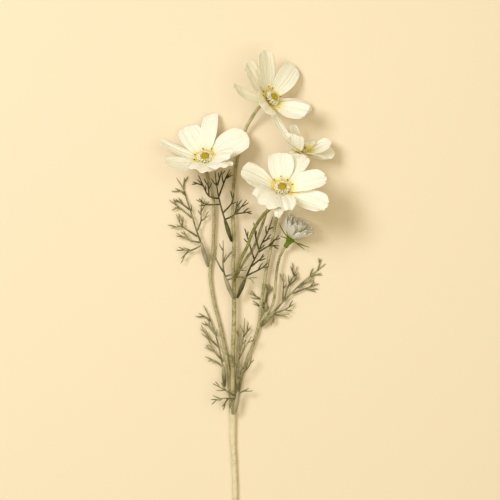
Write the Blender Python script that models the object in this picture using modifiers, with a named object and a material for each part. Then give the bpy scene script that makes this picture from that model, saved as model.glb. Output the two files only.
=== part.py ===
# Artificial cosmos spray lying flat: one taped stem, three branches, four open white
# blossoms, two buds and feathery leaves. Drawn in millimetres with the cut end at the
# origin and the blossoms toward +Y, then moved so the origin is the bottom centre.
import math

import bmesh
import bpy
import numpy as np
from mathutils import Vector

MM = 0.001

# Driving dimensions, millimetres
PETAL_THICKNESS = 0.4
PETAL_START = 4.2          # distance from the blossom's axis to a petal's claw
PETAL_LAYER = 0.06         # claw height gained per degree of rise, so petals stack as they open
TWIG_RADIUS = 0.75
CALYX_DEPTH = 9.0          # from the claw plane down to the calyx's foot
STEM_GAP = 0.4
STEM_PULL = 14.0           # a stem turns into line with the blossom's axis this far down
CURVE_SIDES = 2

WHITE = (0.95, 0.90, 0.72)
TAPE = (0.52, 0.46, 0.30)
LEAF_GREEN = (0.16, 0.17, 0.10)
CALYX_GREEN = (0.14, 0.22, 0.05)
OLIVE_YELLOW = (0.45, 0.33, 0.04)

# Stems: (x, y, z, radius) along the centre line, and the blossom each one ends under
STEMS = {
    "lower_stem": ([(1, 0, 2.6, 2.2), (1, 60, 2.6, 2.2), (1, 150, 2.6, 2.2), (0, 184, 2.6, 2.2),
                    (-1, 201, 2.7, 2.4), (-1, 218, 2.8, 2.6), (-1, 229, 2.9, 2.8)], None),
    "left_branch": ([(-3, 229.5, 1.6, 1.3), (-4, 257, 2.5, 1.4), (-6, 269, 3, 1.4), (-11, 295, 3, 1.4),
                     (-17, 318, 3, 1.4), (-20, 337, 3, 1.4), (-20, 348, 3.5, 1.4), (-18, 363, 4, 1.4),
                     (-17, 393, 5, 1.4), (-18, 408, 6, 1.35), (-21, 420, 7, 1.3)], "left"),
    "center_branch": ([(-1, 229.5, 5.4, 1.7), (-1, 273, 7, 1.9), (0, 303, 8, 1.9), (0, 333, 8, 1.8),
                       (-1, 348, 8, 1.7), (0, 363, 8, 1.6), (-1, 393, 7.5, 1.5), (-1, 408, 6, 1.4),
                       (2, 435, 4, 1.4), (6, 451, 4.5, 1.4), (10, 465, 8, 1.4), (15, 474, 12, 1.4)], "top"),
    "right_branch": ([(1.2, 229.5, 1.6, 1.3), (7, 257, 2, 1.4), (16, 282, 3, 1.4), (21, 299, 4, 1.4),
                      (23, 316, 5, 1.4), (27, 343, 6, 1.4), (31, 363, 7, 1.3), (35, 384, 8, 1.3),
                      (38, 398, 9, 1.3), (42, 414, 10, 1.3)], "side"),
    "fork_stem": ([(1, 339, 11.4, 1.2), (6, 355, 13, 1.3), (11, 365, 16, 1.4), (16, 378, 18, 1.4),
                   (24, 391, 19, 1.4), (33, 399, 22, 1.4)], "center"),
    "small_bud_stem": ([(4, 344, 7.2, 1.1), (11, 356, 8, 1.2), (17, 365, 9, 1.2), (25, 387, 11, 1.2),
                        (28, 397, 12, 1.1)], None),
    "bud_stem": ([(23.6, 304, 7.4, 1.1), (31, 313, 7, 1.2), (34, 321, 7, 1.2), (35, 331, 7, 1.2),
                  (36, 343, 8, 1.1), (38, 354, 8.4, 1.1)], "bud"),
}

# Leaves: height where the socket sits on its stub, height of the leaf, fall of the height per
# millimetre away from the socket, then the socket and the twigs as (x, y) running outward
LEAVES = {
    "upper_left_leaf": (5.4, 8.4, -0.12, [
        [(-23, 352), (-27, 366)], [(-27, 366), (-32, 380), (-36, 393), (-40, 405), (-43, 414), (-49, 424)],
        [(-42, 411), (-50, 415)], [(-38, 397), (-50, 406)], [(-36, 390), (-47, 399), (-55, 405)],
        [(-47, 399), (-53, 396)], [(-31, 374), (-44, 383), (-49, 393)], [(-44, 383), (-53, 381)],
        [(-44, 383), (-43, 391)], [(-29, 369), (-38, 371), (-49, 377)], [(-38, 371), (-43, 379)],
        [(-28, 366), (-38, 362), (-47, 365)], [(-38, 362), (-45, 355)], [(-43, 414), (-42, 424)],
        [(-31, 379), (-28, 387), (-28, 395), (-27, 408)], [(-28, 395), (-23, 404)],
        [(-28, 387), (-21, 392)]]),
    "upper_middle_leaf": (11.4, 12.5, 0.0, [
        [(-3, 373), (-7, 386)], [(-7, 386), (-10, 396), (-13, 408), (-15, 420), (-16, 429)],
        [(-13, 407), (-7, 423), (-3, 431)], [(-7, 423), (-1, 426)], [(-14, 417), (-10, 430)],
        [(-9, 394), (-2, 402), (0, 411)], [(-8, 388), (1, 393), (11, 405)], [(1, 393), (3, 404)],
        [(1, 393), (15, 395)], [(-13, 406), (-21, 408), (-26, 417), (-30, 426)], [(-26, 417), (-35, 420)],
        [(-21, 408), (-22, 421)], [(-12, 401), (-22, 401), (-32, 405)]]),
    "middle_left_leaf": (11.9, 15.6, 0.0, [
        [(-2, 325), (-7, 338)], [(-7, 338), (-9, 348), (-9, 363), (-9, 371)],
        [(-9, 344), (-13, 351), (-16, 358), (-17, 368)], [(-9, 352), (-2, 361), (3, 366)],
        [(-8, 340), (3, 344), (11, 349)], [(-7, 337), (5, 340), (14, 338), (17, 334)]]),
    "middle_right_leaf": (11.9, 12.4, 0.0, [
        [(4, 325), (9, 337)], [(9, 337), (14, 348), (20, 360), (24, 369), (29, 379), (33, 391)],
        [(11, 341), (23, 347), (29, 352)], [(15, 349), (26, 358)], [(21, 361), (30, 366), (38, 366)],
        [(30, 366), (38, 375)], [(24, 369), (31, 373)], [(29, 380), (34, 382)],
        [(17, 355), (13, 368), (9, 381)], [(21, 363), (18, 376), (19, 386)]]),
    "far_right_leaf": (6.4, 6.4, -0.1, [
        [(24.9, 300), (33, 309)], [(33, 309), (41, 318), (48, 325), (56, 333), (68, 343), (78, 351)],
        [(42, 319), (46, 332), (51, 341), (54, 349)], [(51, 341), (48, 349)], [(46, 332), (56, 340)],
        [(41, 318), (42, 331), (42, 343)], [(56, 333), (68, 337)], [(48, 325), (61, 330), (72, 334)],
        [(61, 330), (69, 327)], [(65, 340), (74, 343)], [(71, 345), (74, 355)],
        [(34, 309), (43, 312), (51, 317)], [(34, 308), (45, 306)], [(33, 309), (34, 300)]]),
    "lower_front_leaf": (9.8, 11.4, 0.03, [
        [(1, 227), (3, 240)], [(3, 240), (3, 255), (4, 265), (5, 277), (3, 286)],
        [(2, 239), (-7, 244), (-18, 250)], [(-7, 244), (-11, 251)], [(2, 237), (-12, 237), (-19, 232)],
        [(-12, 237), (-18, 240)], [(-5, 237), (-10, 230)], [(3, 241), (13, 246)],
        [(3, 253), (7, 258), (13, 265), (15, 273)], [(4, 263), (-2, 270), (-6, 278)],
        [(4, 270), (9, 280), (15, 290)]]),
    "lower_left_leaf": (6.2, 6.2, -0.06, [
        [(-8, 250), (-9, 262)], [(-9, 262), (-14, 285), (-20, 303), (-26, 316)], [(-20, 303), (-30, 309)],
        [(-13, 280), (-23, 290), (-28, 299)], [(-9, 268), (-17, 277), (-22, 287), (-28, 292)],
        [(-17, 277), (-25, 280)], [(-9, 263), (-17, 269), (-22, 268)], [(-16, 291), (-25, 302)]]),
    "lower_right_leaf": (4.6, 4.6, 0.0, [
        [(3.4, 247), (3.6, 259)], [(3.6, 259), (5, 276), (8, 289), (9, 305)], [(8, 289), (14, 297)],
        [(5, 276), (4, 287), (4, 296)]]),
    "bud_fork_leaf": (2.2, 2.0, 0.0, [
        [(28, 309.5), (27, 316)], [(27, 316), (28, 324), (30, 334)], [(27, 314), (22, 321), (13, 326)],
        [(27, 313), (16, 317)], [(28, 324), (33, 331)]]),
}

# Blossoms: base point, lean of the axis in degrees, heading of the lean, then the petals:
# (turn, rise, length, width, twist, cup, left roll, arch)
BLOSSOMS = {
    "left": ((-24, 438, 19), 36, 95, [
        (165, 21, 38, 17.5, 29, 20, 0, -18), (210, 32, 38, 19, 1, 22, 0, -19),
        (118, 9, 33.5, 20.5, 0, 20, 0, 14), (83, 19, 39, 13.5, 0, 14, 0, 11),
        (30, 14, 38, 26, 0, 10, -55, 10), (334, 43, 29.5, 14, 0, -15, 0, 12),
        (309, 29, 35, 13, -16, -15, 0, 8), (258, 44, 33, 21.5, -5, -10, 0, 8)]),
    "center": ((40, 412, 44), 32, 88, [
        (173, 30, 35, 27, 15, 30, 0, -1), (235, 34, 33, 17.5, -8, 10, 0, 20),
        (92, 18, 30, 20, 0, 18, 0, 19), (59, 4, 32.5, 13.5, 0, 18, 0, 22),
        (7, 21, 35.5, 19, 0, 20, 0, 18), (330, 12, 39, 20.5, 0, 20, 0, -1),
        (277, 43, 35, 12, 0, 15, 0, 11), (263, 20, 35, 7.5, 0, 15, 0, 15)]),
    "top": ((30, 488, 25), 52, 32, [
        (178, 8, 38.5, 14.5, 14, 20, 0, -28), (150, 17, 36.5, 25.5, 0, 25, 0, -7),
        (115, 29, 38, 24, 0, 20, 0, 0), (54, 24, 38.5, 19, 0, 15, 0, 11),
        (-5, 15, 38, 11.5, 25, 20, 0, 7), (312, 42, 30.5, 21, 16, 15, 0, -11),
        (220, 21, 23, 24.5, -1, 20, 0, 10), (277, 12, 35, 10.5, 2, 20, 0, -15)]),
    "side": ((56, 445.5, 17), 70, 55, [
        (225, 0, 13, 11, 0, 20, 0, 10), (205, 38, 23.5, 17, 27, 15, 0, -28),
        (155, 41, 20.5, 16, -18, 20, 0, 19), (123, 12, 25, 11.5, 3, 20, 0, 9),
        (57, 21, 14, 18.5, -40, 20, 0, 24), (346, 59, 23.5, 16.5, 6, 20, 0, -19),
        (347, 31, 25.5, 16.5, 25, 24, 0, -8), (295, 27, 22, 12.5, 0, 20, 0, 10)]),
    "bud": ((48, 372, 12), 70, 57, []),
    "small_bud": ((32.6, 409, 14.4), 80, 72, []),
}
CENTER_SIZE = {"left": 1, "center": 1, "top": 1, "side": 0.75}


def basis(lean, heading):
    """Rotation that leans the upright axis toward a compass heading."""
    tilt, turn = math.radians(lean), math.radians(heading)
    pivot = Vector((-math.sin(turn), math.cos(turn), 0))

    def turned(vector):
        v = Vector(vector)
        along = pivot * pivot.dot(v) * (1 - math.cos(tilt))
        return v * math.cos(tilt) + pivot.cross(v) * math.sin(tilt) + along

    return turned


def add(name, mesh, colour):
    """Object in the spray's collection with a material of its own."""
    obj = bpy.data.objects.new(name, mesh)
    spray.objects.link(obj)
    material = bpy.data.materials.new(name + "_material")
    material.use_nodes = True
    shader = material.node_tree.nodes["Principled BSDF"]
    shader.inputs["Base Color"].default_value = (*colour, 1)
    shader.inputs["Roughness"].default_value = 0.7
    mesh.materials.append(material)
    return obj


def smooth_path(points, pieces):
    """Catmull-Rom points through the given ones."""
    p = np.array(points, float)
    ends = np.vstack([2 * p[0] - p[1], p, 2 * p[-1] - p[-2]])
    out = []
    for k in range(len(p) - 1):
        a, b, c, d = ends[k:k + 4]
        for t in np.arange(pieces) / pieces:
            out.append(0.5 * (2 * b + (c - a) * t + (2 * a - 5 * b + 4 * c - d) * t ** 2
                              + (3 * b - a - 3 * c + d) * t ** 3))
    return np.array(out + [p[-1]])


def tube(name, points, blossom, colour):
    """Round tube along a smooth path of (x, y, z, radius), ending under its blossom."""
    if blossom:
        base, lean, heading = BLOSSOMS[blossom][:3]
        axis = basis(lean, heading)((0, 0, 1))
        for back in (STEM_PULL, CALYX_DEPTH + STEM_GAP):
            points = points + [(*(Vector(base) - axis * back), points[-1][3])]
    path = smooth_path(points, 3)
    curve = bpy.data.curves.new(name, "CURVE")
    curve.dimensions = "3D"
    curve.bevel_depth = MM
    curve.bevel_resolution = CURVE_SIDES
    curve.use_fill_caps = True
    spline = curve.splines.new("POLY")
    spline.points.add(len(path) - 1)
    for point, (x, y, z, radius) in zip(spline.points, path):
        point.co = (x * MM, y * MM, z * MM, 1)
        point.radius = radius
    return add(name, curve, colour)


def width_share(s):
    """Width along a petal: narrow claw, widest at two thirds, a little less at the tip."""
    swell = np.sin(np.pi / 2 * np.clip(s / 0.62, 0, 1)) ** 1.15
    return (0.16 + 0.84 * swell) * (1 - 0.22 * np.clip((s - 0.62) / 0.38, 0, 1) ** 2)


def petal_points(head, petal, along, across):
    """Points of one petal's middle surface on a grid of (along, across)."""
    base, lean, heading, _ = head
    turn, rise, length, width, twist, cup, roll, arch = petal
    rotate = basis(lean, heading)
    f = math.radians(turn)
    radial = np.array(rotate((math.cos(f), math.sin(f), 0)))
    side = np.array(rotate((-math.sin(f), math.cos(f), 0)))
    axis = np.array(rotate((0, 0, 1)))
    pitch = math.radians(rise)
    ahead = math.cos(pitch) * radial + math.sin(pitch) * axis
    up = np.cross(ahead, side)
    layer = max(-1.5, min(1.5, PETAL_LAYER * (rise - 20)))
    start = np.array(base) + radial * PETAL_START + axis * layer

    u = np.linspace(0, 1, along)[:, None]
    v = np.linspace(-1, 1, across)[None, :]
    tip = 1 - 0.16 * np.abs(v) ** 2.6
    s = u * tip
    half = width / 2 * width_share(s)
    q = np.linspace(-1, 1, 201)
    slope = np.radians(cup * q - roll * np.maximum(-q, 0) ** 2)
    flat = np.concatenate([[0], np.cumsum(np.cos(slope[1:])) * 0.01])
    lift = np.concatenate([[0], np.cumsum(np.sin(slope[1:])) * 0.01])
    x = half * np.interp(v, q, flat - flat[100])
    z = half * np.interp(v, q, lift - lift[100]) * np.minimum(1, s * 2.5)
    rho = math.radians(twist) * np.sin(np.pi / 2 * np.minimum(1, s / 0.6))
    across_dir = np.cos(rho)[..., None] * side + np.sin(rho)[..., None] * up
    up_dir = -np.sin(rho)[..., None] * side + np.cos(rho)[..., None] * up
    t = np.linspace(0, 1, 101)
    bend = np.radians(arch) * (1 - 2 * t)
    forward = length * np.interp(s, t, np.cumsum(np.cos(bend)) * 0.01 - 0.01)
    height = length * np.interp(s, t, np.cumsum(np.sin(bend)) * 0.01)
    spine = start + forward[..., None] * ahead + height[..., None] * up
    return spine + x[..., None] * across_dir + z[..., None] * up_dir


def petal_node(name, head, petal):
    """Petal: a grid bent into shape and thickened."""
    along, across = 9, 7
    points = petal_points(head, petal, along, across)
    bm = bmesh.new()
    bmesh.ops.create_grid(bm, x_segments=along - 1, y_segments=across - 1, size=1)
    for vert in bm.verts:
        i = round((vert.co.x + 1) / 2 * (along - 1))
        j = round((vert.co.y + 1) / 2 * (across - 1))
        vert.co = Vector(points[i, j]) * MM
    mesh = bpy.data.meshes.new(name)
    bm.to_mesh(mesh)
    bm.free()
    obj = add(name, mesh, WHITE)
    shell = obj.modifiers.new("Thickness", "SOLIDIFY")
    shell.thickness = PETAL_THICKNESS * MM
    shell.offset = 0


def lobed(name, head, profile, lobes, sides, colour, size=1):
    """Sphere reshaped ring by ring to a profile of (radius, height, lobe depth)."""
    base, lean, heading = head[:3]
    rotate = basis(lean, heading)
    bm = bmesh.new()
    bmesh.ops.create_uvsphere(bm, u_segments=sides, v_segments=len(profile) - 1, radius=1)
    for vert in bm.verts:
        ring = round((math.acos(max(-1, min(1, -vert.co.z)))) / math.pi * (len(profile) - 1))
        radius, height, depth = profile[ring]
        angle = math.atan2(vert.co.y, vert.co.x)
        radius += depth * abs(math.cos(lobes * angle / 2)) ** 3
        if ring in (0, len(profile) - 1):
            radius = 0
        place = rotate((radius * math.cos(angle), radius * math.sin(angle), height))
        vert.co = (Vector(base) + place * size) * MM
    mesh = bpy.data.meshes.new(name)
    bm.to_mesh(mesh)
    bm.free()
    return add(name, mesh, colour)


def solid_tube(name, path, sides):
    """Closed mesh tube along (x, y, z, radius) points."""
    curve = bpy.data.curves.new(name, "CURVE")
    curve.dimensions = "3D"
    curve.bevel_depth = MM
    curve.bevel_resolution = sides
    curve.use_fill_caps = True
    spline = curve.splines.new("POLY")
    spline.points.add(len(path) - 1)
    for point, (x, y, z, radius) in zip(spline.points, path):
        point.co = (x * MM, y * MM, z * MM, 1)
        point.radius = radius
    rod = bpy.data.objects.new(name, curve)
    mesh = bpy.data.meshes.new_from_object(rod)
    bpy.data.objects.remove(rod)
    bm = bmesh.new()
    bm.from_mesh(mesh)
    bmesh.ops.remove_doubles(bm, verts=bm.verts, dist=0.01 * MM)
    bmesh.ops.recalc_face_normals(bm, faces=bm.faces)
    bm.to_mesh(mesh)
    bm.free()
    return mesh


def leaf_node(name, stub, height, fall, paths):
    """Leaf: a socket with the midrib and twigs joined to it."""
    origin = Vector(paths[0][1])

    def level(x, y, radius):
        return max(radius + 0.2, height + fall * (Vector((x, y)) - origin).length)

    (x0, y0), (x1, y1) = paths[0]
    xm, ym = x0 + 0.7 * (x1 - x0), y0 + 0.7 * (y1 - y0)
    zm = stub + 0.7 * (height - stub)
    socket = [(x0, y0, stub, 1.1), (xm, ym, zm, 1.7), (x1, y1, level(x1, y1, 1.2), 1.2)]
    leaf = add(name, solid_tube(name, socket, 1), LEAF_GREEN)

    twigs = bpy.data.collections.new(name + "_twigs")
    bpy.context.scene.collection.children.link(twigs)
    for k, path in enumerate(paths[1:]):
        points = []
        for n, (x, y) in enumerate(path):
            radius = TWIG_RADIUS - 0.012 * k - 0.05 * n
            points.append((x, y, level(x, y, radius), radius))
        twig = bpy.data.objects.new(f"{name}_twig_{k + 1}", solid_tube(name + "_twig", points, 1))
        twig.display_type = "WIRE"
        twig.hide_render = True
        twigs.objects.link(twig)
    join = leaf.modifiers.new("Twigs", "BOOLEAN")
    join.operation = "UNION"
    join.solver = "EXACT"
    join.operand_type = "COLLECTION"
    join.collection = twigs
    join.use_self = True


for old in list(bpy.data.objects):
    bpy.data.objects.remove(old)
spray = bpy.data.collections.new("cosmos_spray")
bpy.context.scene.collection.children.link(spray)

for name, (points, blossom) in STEMS.items():
    tube(name, points, blossom, TAPE)

for name, (stub, height, fall, paths) in LEAVES.items():
    leaf_node(name, stub, height, fall, paths)

# Turned shapes as rings of (radius, height above the claw plane, lobe depth)
CENTER_PROFILE = [(0, 0.6, 0), (3.2, 0.6, 0), (5.6, 4.0, 0), (6.0, 5.4, 0), (4.6, 5.8, 0), (4.1, 7.6, 0),
                  (2.4, 8.6, 0), (0, 8.8, 0)]
CALYX_PROFILE = [(0, -9, 0), (1.7, -9, 0), (2.2, -5.6, 0), (2.9, -3.6, 0), (2.9, -2.9, 5.2),
                 (2.8, -2.3, 5.0), (2.0, -2.0, 0), (0, -2.0, 0)]
BUD_CALYX_PROFILE = [(0, -9, 0), (1.9, -9, 0), (1.9, -3.0, 0), (3.0, -1.0, 0), (3.0, -0.5, 7),
                     (2.8, 0.1, 7), (1.6, 0.4, 0), (0, 0.4, 0)]
BUD_PETAL_PROFILE = [(0, 0.8, 0), (2.2, 1.0, 0), (5.6, 4.6, 0.4), (9.4, 9.2, 0.8), (12.6, 14.5, 1.4),
                     (11.0, 15.5, 1.4), (7.2, 11.5, 0.8), (3.6, 7.0, 0.3), (0, 5.0, 0)]
SMALL_BUD_PROFILE = [(0, -12.4, 0), (1.6, -12.4, 0), (2.2, -9.5, 0), (3.2, -8, 0), (4.2, -3, 0.2),
                     (3.4, 0.5, 0.3), (1.2, 2.4, 0.2), (0, 2.6, 0)]
for key, size in CENTER_SIZE.items():
    head = BLOSSOMS[key]
    for k, petal in enumerate(head[3]):
        petal_node(f"{key}_petal_{k + 1}", head, petal)
    lobed(key + "_flower_center", head, CENTER_PROFILE, 8, 20, OLIVE_YELLOW, size)
    lobed(key + "_calyx", head, CALYX_PROFILE, 8, 32, CALYX_GREEN)
lobed("bud_calyx", BLOSSOMS["bud"], BUD_CALYX_PROFILE, 5, 30, CALYX_GREEN)
lobed("bud_petals", BLOSSOMS["bud"], BUD_PETAL_PROFILE, 14, 56, WHITE)
lobed("small_bud", BLOSSOMS["small_bud"], SMALL_BUD_PROFILE, 8, 24, WHITE)
bpy.context.view_layer.update()

# The origin goes to the bottom centre of the whole spray
depsgraph = bpy.context.evaluated_depsgraph_get()
places = []
for obj in spray.objects:
    shape = obj.evaluated_get(depsgraph)
    places.extend(np.array(v.co) for v in shape.to_mesh().vertices)
    shape.to_mesh_clear()
low, high = np.min(places, axis=0), np.max(places, axis=0)
for obj in bpy.data.objects:
    obj.location = (-(low[0] + high[0]) / 2, -(low[1] + high[1]) / 2, -low[2])
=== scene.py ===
import bpy
import numpy as np
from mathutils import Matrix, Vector


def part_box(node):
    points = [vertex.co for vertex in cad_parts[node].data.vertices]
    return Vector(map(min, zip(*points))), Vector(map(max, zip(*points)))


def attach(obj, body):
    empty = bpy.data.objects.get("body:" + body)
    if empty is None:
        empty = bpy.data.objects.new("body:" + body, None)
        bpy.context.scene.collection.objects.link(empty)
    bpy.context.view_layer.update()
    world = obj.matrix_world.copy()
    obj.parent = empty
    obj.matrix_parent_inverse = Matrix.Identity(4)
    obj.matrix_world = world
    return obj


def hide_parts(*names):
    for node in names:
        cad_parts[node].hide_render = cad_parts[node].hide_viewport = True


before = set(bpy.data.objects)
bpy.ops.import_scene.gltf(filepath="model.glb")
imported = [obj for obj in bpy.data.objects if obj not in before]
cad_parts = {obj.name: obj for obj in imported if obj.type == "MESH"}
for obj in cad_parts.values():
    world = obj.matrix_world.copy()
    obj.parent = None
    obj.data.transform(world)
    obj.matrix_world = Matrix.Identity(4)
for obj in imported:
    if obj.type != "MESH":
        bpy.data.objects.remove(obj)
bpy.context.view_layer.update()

mm = 0.001
fullTurn = 6.2832          # radians
goldenAngle = 2.39996      # radians from one floret to the next
cutEnd = np.array([-0.011364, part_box("lower_stem")[0].y, -0.0001])


def inFrame(points):
    return np.asarray(points, float) * mm + cutEnd


# Camera, table and light

view = {"middle": (0.0022, 0.0979), "height": 1.6, "lens": 135.5}
table = {"side": 7.0, "colour": (0.785, 0.675, 0.53)}
lights = {
    "window": {"place": (-0.9, 0.65, 1.65), "size": 0.7, "power": 24, "colour": (1.0, 1.0, 0.98)},
    "skylight": {"place": (0.45, 0.0, 2.1), "size": 2.0, "power": 21, "colour": (1.0, 0.93, 0.76)},
}
roomLight = {"colour": (1.0, 0.87, 0.46), "strength": 0.4}

lensData = bpy.data.cameras.new("camera")
lensData.lens = view["lens"]
lensData.clip_end = 20
camera = bpy.data.objects.new("camera", lensData)
camera.location = (*view["middle"], view["height"])
bpy.context.scene.collection.objects.link(camera)
bpy.context.scene.camera = camera
bpy.context.scene.view_settings.view_transform = "Standard"

for name, lamp in lights.items():
    data = bpy.data.lights.new(name, "AREA")
    data.size = lamp["size"]
    data.energy = lamp["power"]
    data.color = lamp["colour"]
    placed = bpy.data.objects.new(name, data)
    placed.location = lamp["place"]
    aim = Vector((*view["middle"], 0)) - placed.location
    placed.rotation_euler = aim.to_track_quat("-Z", "Y").to_euler()
    bpy.context.scene.collection.objects.link(placed)

room = bpy.data.worlds.new("room")
room.use_nodes = True
room.node_tree.nodes["Background"].inputs["Color"].default_value = (*roomLight["colour"], 1)
room.node_tree.nodes["Background"].inputs["Strength"].default_value = roomLight["strength"]
bpy.context.scene.world = room
print("camera and light are set")


# Shader maths: a wire is a socket that can stand in a sum

class Wire:
    def __init__(self, finish, socket):
        self.finish = finish
        self.socket = socket

    def mathNode(self, operation, *values):
        sockets = dict(enumerate(values))
        return self.finish.node("ShaderNodeMath", {"operation": operation}, sockets)

    def __add__(self, other):
        return self.mathNode("ADD", self, other)

    def __radd__(self, other):
        return self.mathNode("ADD", other, self)

    def __sub__(self, other):
        return self.mathNode("SUBTRACT", self, other)

    def __rsub__(self, other):
        return self.mathNode("SUBTRACT", other, self)

    def __mul__(self, other):
        return self.mathNode("MULTIPLY", self, other)

    def __rmul__(self, other):
        return self.mathNode("MULTIPLY", other, self)


class Finish:
    def __init__(self, name, **sockets):
        self.material = bpy.data.materials.new(name)
        self.material.use_nodes = True
        self.tree = self.material.node_tree
        self.shader = self.tree.nodes["Principled BSDF"]
        self.feed(**sockets)

    def feed(self, **sockets):
        for key, value in sockets.items():
            spaced = "".join(" " + c if c.isupper() else c for c in key).strip().title()
            self.plug(self.shader.inputs[spaced.replace("Ior", "IOR")], value)

    def plug(self, socket, value):
        if isinstance(value, Wire):
            self.tree.links.new(value.socket, socket)
        elif isinstance(value, tuple) and socket.type == "RGBA":
            socket.default_value = (*value, 1)
        else:
            socket.default_value = value

    def node(self, kind, settings=None, sockets=None, output=0):
        made = self.tree.nodes.new(kind)
        for key, value in (settings or {}).items():
            setattr(made, key, value)
        for key, value in (sockets or {}).items():
            self.plug(made.inputs[key], value)
        return Wire(self, made.outputs[output])

    # Point coordinates of the piece, in metres
    def place(self):
        return self.node("ShaderNodeTexCoord", output="Object")

    # The three numbers that every surface carries: across, along, and one of its own kind,
    # such as a petal's distance from its claw or a tape's number of wraps
    def shape(self):
        carried = self.node("ShaderNodeAttribute", {"attribute_name": "shape"}, output="Vector")
        return [self.node("ShaderNodeSeparateXYZ", sockets={0: carried}, output=k) for k in range(3)]

    def noise(self, scale, detail):
        sockets = {"Vector": self.place(), "Scale": scale, "Detail": detail}
        return self.node("ShaderNodeTexNoise", sockets=sockets)

    # 0 below low, 1 above high, smooth between
    def step(self, wire, low, high):
        settings = {"interpolation_type": "SMOOTHSTEP"}
        return self.node("ShaderNodeMapRange", settings, {0: wire, 1: low, 2: high})

    def mix(self, share, first, second):
        return self.node("ShaderNodeMix", {"data_type": "RGBA"}, {0: share, 6: first, 7: second}, 2)

    def bump(self, height, distance, strength):
        sockets = {"Height": height, "Distance": distance, "Strength": strength}
        return self.node("ShaderNodeBump", sockets=sockets)

    def sine(self, wire):
        return wire.mathNode("SINE", wire)


# Table finish: matt card, with a faint mottle and tooth
card = Finish("tableCard", Roughness=0.85, SpecularIorLevel=0.15)
mottle = card.noise(3.0, 3)
tone = card.mix(mottle, table["colour"], tuple(c * 0.985 for c in table["colour"]))
card.feed(BaseColor=tone, Normal=card.bump(card.noise(900, 2), 0.0001, 0.25))

half = table["side"] / 2
tableMesh = bpy.data.meshes.new("table")
corners = [(-half, -half, 0), (half, -half, 0), (half, half, 0), (-half, half, 0)]
tableMesh.from_pydata(corners, [], [(0, 1, 2, 3)])
tableMesh.materials.append(card.material)
tableTop = bpy.data.objects.new("table", tableMesh)
bpy.context.scene.collection.objects.link(tableTop)


# Finishes of the spray

# Petal cloth: cream white, deep yellow at the claw and pale yellow past it, with fine lines
# that fan from claw to tip, darkened along them as painted shade of the pleats, and a soft weave. The
# claw's length is in millimetres.
petalColours = {"shaded": (0.945, 0.92, 0.80), "bright": (0.965, 0.945, 0.86),
                "line": (0.80, 0.74, 0.52), "flush": (0.86, 0.80, 0.36), "claw": (0.82, 0.66, 0.13)}


def petalFinish(name, clawLength):
    cloth = Finish(name, Roughness=0.62, SpecularIorLevel=0.25, SubsurfaceWeight=0.45,
                   SubsurfaceRadius=(1.0, 0.85, 0.55), SubsurfaceScale=0.0016,
                   SheenWeight=0.12, SheenRoughness=0.5)
    across, along, reach = cloth.shape()
    drift = cloth.noise(120, 3)
    wander = across + (drift - 0.5) * 0.05
    lines = cloth.sine(wander * 58.0) * 0.5 + 0.5
    creases = cloth.sine(wander * 21.0 + drift * 3.0) * 0.5 + 0.5
    pale = cloth.mix(drift, petalColours["shaded"], petalColours["bright"])
    # painted shade: the cloth is darkened along the fine pleat lines that the bump also raises
    pleatShaded = cloth.mix(lines * cloth.step(along, 0.02, 0.5) * 0.26, pale, petalColours["line"])
    flush = 1 - cloth.step(reach + (drift - 0.5) * 5, 2.0, clawLength * 3.2)
    tinted = cloth.mix(flush * 0.65, pleatShaded, petalColours["flush"])
    claw = 1 - cloth.step(reach + (lines - 0.5) * 1.6, clawLength * 0.8, clawLength * 1.75)
    cloth.feed(BaseColor=cloth.mix(claw * 0.85, tinted, petalColours["claw"]))
    weave = cloth.noise(2600, 2)
    relief = lines * 0.5 + creases * 0.9 + weave * 0.25
    cloth.feed(Normal=cloth.bump(relief, 0.00028, 0.8))
    return cloth.material


# Florets and threads: a colour at the foot and one at the head, varied from one to the next
def threadFinish(name, foot, head, low, high, rough):
    thread = Finish(name, Roughness=rough, SpecularIorLevel=0.3)
    across, along, turn = thread.shape()
    speckle = thread.noise(1500, 2)
    shade = thread.mix(turn, head, tuple(c * 0.72 for c in head))
    tone = thread.mix(thread.step(along + (speckle - 0.5) * 0.2, low, high), foot, shade)
    thread.feed(BaseColor=tone, Normal=thread.bump(speckle, 0.0001, 0.5))
    return thread.material


# Leafy green plastic with a few long ridges; the colour is darker in the grooves and paler on the ridge
# tops as painted shade, mixed with random patches
def sepalFinish(name, dark, light):
    sepal = Finish(name, Roughness=0.5, SpecularIorLevel=0.4)
    across, along, spare = sepal.shape()
    patch = sepal.noise(420, 3)
    ridge = sepal.sine(across * 9.0) * 0.5 + 0.5
    # painted shade: the ridge wave darkens the grooves and lightens the ridge tops, mixed with random
    # patches
    tone = sepal.mix(patch * 0.6 + ridge * 0.4, dark, light)
    sepal.feed(BaseColor=tone, Normal=sepal.bump(ridge + patch * 0.5, 0.0002, 0.6))
    return sepal.material


# Stem tape: crepe paper over wire, rubbed pale along its high parts, dusted with flock
def tapeFinish(name, deep, pale, dust, dusting, pull):
    tape = Finish(name, Roughness=0.88, SpecularIorLevel=0.12, SheenWeight=0.35,
                  SheenRoughness=0.45, SheenTint=(0.86, 0.80, 0.64))
    across, along, wraps = tape.shape()
    patch = tape.noise(95, 4)
    fibre = tape.noise(1400, 3)
    tone = tape.mix(tape.step(patch, 0.36, 0.66), deep, pale)
    specks = tape.step(fibre + patch * 0.5, 0.78 - dusting * 0.3, 0.98 - dusting * 0.3)
    tone = tape.mix(specks, tone, dust)
    tape.feed(BaseColor=tone)
    crepe = tape.sine(wraps * fullTurn + fibre * pull)
    tape.feed(Normal=tape.bump(fibre * 0.8 + crepe * 0.25, 0.0003, 0.7))
    return tape.material


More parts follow.
